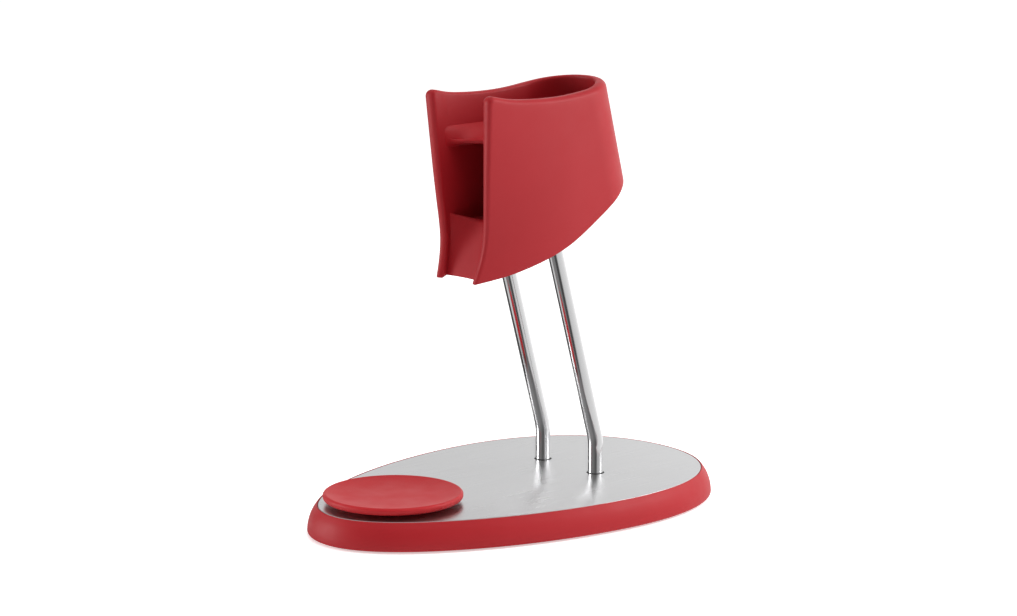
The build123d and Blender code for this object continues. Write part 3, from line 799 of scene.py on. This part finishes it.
def by_bearing(nodes, links, place):
    """Brightness of the surround by the bearing of a direction, counted from the camera's."""
    split = nodes.new("ShaderNodeSeparateXYZ")
    links.new(place, split.inputs[0])
    turned = nodes.new("ShaderNodeMath")
    turned.operation = "MULTIPLY"
    turned.inputs[1].default_value = -1
    links.new(split.outputs["Y"], turned.inputs[0])
    bearing = nodes.new("ShaderNodeMath")
    bearing.operation = "ARCTAN2"
    links.new(split.outputs["X"], bearing.inputs[0])
    links.new(turned.outputs[0], bearing.inputs[1])
    wrap = nodes.new("ShaderNodeMath")
    wrap.operation = "WRAP"
    wrap.inputs[1].default_value = camera_side + pi
    wrap.inputs[2].default_value = camera_side - pi
    links.new(bearing.outputs[0], wrap.inputs[0])
    span = nodes.new("ShaderNodeMapRange")
    span.inputs["From Min"].default_value = camera_side - pi
    span.inputs["From Max"].default_value = camera_side + pi
    links.new(wrap.outputs[0], span.inputs["Value"])
    ramp = nodes.new("ShaderNodeValToRGB")
    links.new(span.outputs["Result"], ramp.inputs["Fac"])
    marks = ramp.color_ramp.elements
    while len(marks) < len(screens):
        marks.new(0.5)
    for mark, (angle, level) in zip(marks, screens):
        mark.position = 0.5 + angle / 360
        mark.color = (level, level, level, 1)
    return ramp.outputs["Color"], split.outputs["Z"]


def pale_floor():
    """White floor; bright metal sees it only as bright as the surround behind it."""
    material, nodes, links, shader, place = new_material("pale_floor", (0.9, 0.9, 0.9), 0.9)
    shader.inputs["Specular IOR Level"].default_value = 0.1
    shader.inputs["Emission Color"].default_value = (1, 1, 1, 1)
    shader.inputs["Emission Strength"].default_value = 0.5
    clouds = grain(nodes, links, place, 3, 2)
    two_tone(nodes, links, clouds, (0.895, 0.895, 0.895), (0.905, 0.905, 0.905), shader)
    level, _ = by_bearing(nodes, links, place)
    shown = nodes.new("ShaderNodeEmission")
    links.new(level, shown.inputs["Color"])
    path = nodes.new("ShaderNodeLightPath")
    choose = nodes.new("ShaderNodeMixShader")
    links.new(path.outputs["Is Glossy Ray"], choose.inputs["Fac"])
    links.new(shader.outputs[0], choose.inputs[1])
    links.new(shown.outputs[0], choose.inputs[2])
    links.new(choose.outputs[0], nodes["Material Output"].inputs["Surface"])
    return material


floor_half = 30
bm = bmesh.new()
bmesh.ops.create_grid(bm, x_segments=1, y_segments=1, size=floor_half)
mesh = bpy.data.meshes.new("floor")
bm.to_mesh(mesh)
bm.free()
mesh.materials.append(pale_floor())
floor = bpy.data.objects.new("floor", mesh)
bpy.context.scene.collection.objects.link(floor)

world = bpy.data.worlds.new("studio")
bpy.context.scene.world = world
world.use_nodes = True
nodes, links = world.node_tree.nodes, world.node_tree.links
surround = nodes["Background"]
direction = nodes.new("ShaderNodeTexCoord")
level, height = by_bearing(nodes, links, direction.outputs["Generated"])
overhead = nodes.new("ShaderNodeMapRange")
overhead.inputs["From Min"].default_value = 0.4
overhead.inputs["From Max"].default_value = 0.8
links.new(height, overhead.inputs["Value"])
mix = nodes.new("ShaderNodeMix")
mix.data_type = "RGBA"
mix.inputs["B"].default_value = (0.55, 0.55, 0.55, 1)
links.new(overhead.outputs["Result"], mix.inputs["Factor"])
links.new(level, mix.inputs["A"])
links.new(mix.outputs["Result"], surround.inputs["Color"])
seen = nodes.new("ShaderNodeBackground")
seen.inputs["Color"].default_value = (1, 1, 1, 1)
path = nodes.new("ShaderNodeLightPath")
choose = nodes.new("ShaderNodeMixShader")
links.new(path.outputs["Is Camera Ray"], choose.inputs["Fac"])
links.new(surround.outputs[0], choose.inputs[1])
links.new(seen.outputs[0], choose.inputs[2])
links.new(choose.outputs[0], nodes["World Output"].inputs["Surface"])


def soft_light(name, size, energy, place, aim, mirrored=True):
    """A round soft light that the camera doesn't see. The steel mirrors it only if mirrored."""
    light = bpy.data.lights.new(name, "AREA")
    light.shape = "DISK"
    light.size = size
    light.energy = energy
    lamp = bpy.data.objects.new(name, light)
    lamp.location = place
    lamp.rotation_mode = "QUATERNION"
    lamp.rotation_quaternion = (Vector(aim) - Vector(place)).to_track_quat("-Z", "Y")
    lamp.visible_camera = False
    lamp.visible_glossy = mirrored
    bpy.context.scene.collection.objects.link(lamp)


soft_light("overhead", 1.4, 15, (0.25, 0.3, 1.5), (0, 0, 0.05), mirrored=False)
soft_light("front_left", 0.6, 8, (-0.9, -0.95, 0.3), (0, 0, 0.12))
soft_light("behind_right", 0.3, 1.5, (0.34, 0.36, 0.32), (0, 0.03, 0.16))

camera = bpy.data.cameras.new("camera")
camera.sensor_width = 36
camera.lens = 96.89
camera.clip_start, camera.clip_end = 0.05, 60
camera_object = bpy.data.objects.new("camera", camera)
back_way = Vector((sin(camera_side) * cos(camera_rise), -cos(camera_side) * cos(camera_rise),
                   sin(camera_rise)))
camera_object.location = target + back_way * camera_distance
camera_object.rotation_mode = "QUATERNION"
camera_object.rotation_quaternion = (-back_way).to_track_quat("-Z", "Y")
bpy.context.scene.collection.objects.link(camera_object)
bpy.context.scene.camera = camera_object
bpy.context.scene.view_settings.view_transform = "Standard"
